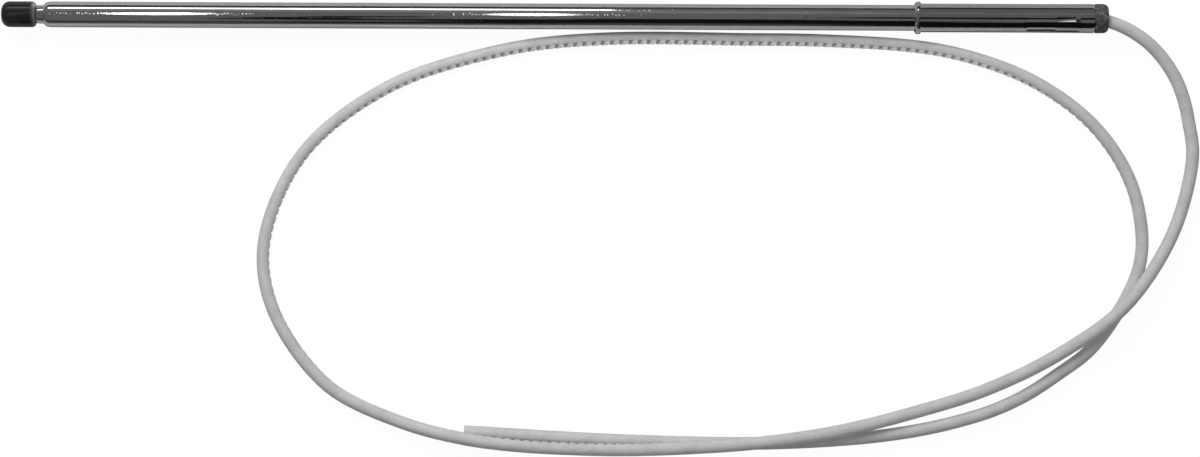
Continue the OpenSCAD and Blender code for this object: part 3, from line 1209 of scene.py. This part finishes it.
@dataclass
class Studio:
    """White table, soft light and the camera straight above it.

    Attributes:
        image_width: Width of the picture in pixels.
        pixel: Size of a pixel at look_height.
        view_centre: x and y of the middle of the picture.
        camera_height: Height of the camera above the table.
        roll: Turn of the camera in radians.
        look_height: Height at which the picture's scale holds.
        sensor: Width of the camera's sensor in millimetres.
        table_half: Half of the table's side.
        paper_tone: Grey of the table for the light that falls on the object.
        table_glow: Strength of the table's own white in the picture.
        glow_share: Share of that white; the rest is the lit table with its shadows.
        room_tone: Grey of the room that polished metal shows.
        room_fill: Strength of the room's light on everything else.
        lamps: Two soft boxes, the strip behind the mast and two small lamps beside the camera.
        panels: The panels of the room, each laid over those before it.
    """

    image_width: int = 1200
    pixel: float = 0.28 * MM
    view_centre: tuple[float, float] = (12.9 * MM, -59.3 * MM)
    camera_height: float = 900 * MM
    roll: float = 0.0041
    look_height: float = 4 * MM
    sensor: float = 36.0
    table_half: float = 3.0
    paper_tone: float = 0.42
    table_glow: float = 1.14
    glow_share: float = 0.84
    room_tone: float = 0.12
    room_fill: float = 0.23
    lamps: tuple[Lamp, ...] = (
        Lamp("soft_box", (-0.17, 0.42, 0.52), (0.5, 0.36), 6.6, in_mirrors=False),
        Lamp("fill_box", (0.75, 0.1, 0.7), (0.6, 0.6), 0.55, in_mirrors=False),
        Lamp("strip", (-0.31, 0.84, 0.54), (0.66, 0.22), 2.4, aim=(-0.31, 0.0, 0.0)),
        Lamp("left_lamp", (-0.235, 0.1, 0.9), (0.058, 0.36), 2.4, (-0.235, 0.1, 0.0), LampShape.OVAL),
        Lamp("near_lamp", (-0.026, 0.19, 0.9), (0.05, 0.4), 1.5, (-0.026, 0.19, 0.0), LampShape.OVAL),
    )
    panels: tuple[Panel, ...] = (
        Panel(lean=40, half=12, tone=0.19, soft=10),
        Panel(lean=86, half=11, tone=0.03),
        Panel(lean=-80, half=10, tone=0.07),
        Panel(lean=-67, half=8, tone=0.045, soft=8),
        Panel(lean=46, half=11, tone=0.125, span=(0.08, 2.0), soft=10),
        Panel(lean=-36, half=5, tone=0.008, span=(-0.126, -0.093), fade=0.008, soft=5),
        Panel(lean=-29, half=10, tone=0.003, span=(-0.115, -0.07), fade=0.01),
        Panel(lean=-14, half=5.5, tone=0.003, span=(-0.095, -0.05), fade=0.008, soft=5),
        Panel(lean=-39, half=6.5, tone=0.004, span=(-0.11, 0.0), soft=5),
        Panel(lean=-65, half=7, tone=0.006, span=(-0.11, 0.0), soft=5),
        Panel(lean=-47, half=15, tone=0.007, span=(-0.065, 0.12)),
        Panel(lean=-42, half=19, tone=0.006, span=(-0.02, 0.12)),
        Panel(lean=-62, half=22, tone=0.005, span=(0.05, 2.0), fade=0.04),
        Panel(lean=-25, half=5.5, tone=0.13, span=(0.06, 2.0), fade=0.03, soft=5),
        Panel(lean=-6, half=7, tone=0.004, span=(0.06, 2.0), fade=0.03, soft=4),
        Panel(lean=-33, half=5, tone=0.95, span=(0.19, 0.31), soft=3),
    )

    def build(self) -> None:
        """Sets up the view, the table, the lamps and the room."""
        bpy.context.scene.view_settings.view_transform = "Standard"
        self._camera()
        self._table()
        for lamp in self.lamps:
            lamp.build()
        self._room()

    def _camera(self) -> None:
        """Puts the camera over the middle of the picture, turned a quarter of a degree."""
        data = bpy.data.cameras.new("camera")
        data.sensor_width = self.sensor
        distance = self.camera_height - self.look_height
        data.lens = self.sensor * distance / (self.image_width * self.pixel)
        camera = bpy.data.objects.new("camera", data)
        camera.location = (*self.view_centre, self.camera_height)
        camera.rotation_euler = (0.0, 0.0, self.roll)
        bpy.context.scene.collection.objects.link(camera)
        bpy.context.scene.camera = camera

    def _table(self) -> None:
        """Lays a white table whose lit face shows as the white background."""
        bpy.ops.object.select_all(action="DESELECT")
        bpy.ops.mesh.primitive_plane_add(size=2 * self.table_half, location=(0.0, 0.0, 0.0))
        table = bpy.context.active_object
        table.name = "table"
        made = bpy.data.materials.new("white_table")
        made.use_nodes = True
        shader = Shader(made.node_tree, "ShaderNodeOutputMaterial")
        seen = shader.add("ShaderNodeLightPath", {}, {}, out="Is Camera Ray")
        grey = (self.paper_tone, self.paper_tone, self.paper_tone)
        paper = shader.add("ShaderNodeBsdfDiffuse", {}, {"Color": grey})
        glow = shader.add("ShaderNodeEmission", {}, {"Color": WHITE, "Strength": self.table_glow})
        shader.end_with(shader.blend(seen * self.glow_share, paper, glow))
        Pieces.dress(table, made)
        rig.stage(table)

    def _room(self) -> None:
        """Gives the room its grey walls and the panels that the metal shows."""
        world = bpy.data.worlds.new("room")
        world.use_nodes = True
        bpy.context.scene.world = world
        shader = Shader(world.node_tree, "ShaderNodeOutputWorld")
        way = shader.add("ShaderNodeTexCoord", {}, {}, out="Generated")
        x, y, z = shader.parts(way)
        lean = y.lean(z)
        tone: Union[Wire, Colour] = (self.room_tone, self.room_tone, self.room_tone)
        for panel in self.panels:
            tone = panel.over(shader, tone, lean, x)
        mirrored = shader.add("ShaderNodeBackground", {}, {"Color": tone, "Strength": 1.0})
        soft = shader.add("ShaderNodeBackground", {}, {"Color": WHITE, "Strength": self.room_fill})
        bright = shader.add("ShaderNodeBackground", {}, {"Color": WHITE, "Strength": 1.0})
        glossy = shader.add("ShaderNodeLightPath", {}, {}, out="Is Glossy Ray")
        seen = shader.add("ShaderNodeLightPath", {}, {}, out="Is Camera Ray")
        shader.end_with(shader.blend(seen, shader.blend(glossy, soft, mirrored), bright))


def write_sizes(before: tuple[Vector, Vector], after: tuple[Vector, Vector]) -> None:
    """Writes the box of the construction and of the finished model.

    Args:
        before: Lowest and highest corner straight after loading.
        after: Lowest and highest corner of the finished model.
    """
    boxes = {"cad": [list(corner) for corner in before], "visual": [list(corner) for corner in after]}
    with open(SIZE_FILE, "w", encoding="utf-8") as file:
        json.dump(boxes, file, indent=1)


def main() -> None:
    """Loads the construction, builds the scene round it and reports each piece."""
    logging.basicConfig(level=logging.INFO, format="%(name)s: %(message)s")
    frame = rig.load()
    construction_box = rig.bounds()
    Studio().build()
    cord = DriveCord()
    piece = cord.build()
    LOG.info("cord %s, %.3f m long, %d vertices", piece.name, cord.length, len(piece.data.vertices))
    Mast(frame["nodes"]).build()
    write_sizes(construction_box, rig.bounds())


if __name__ == "__main__":
    main()
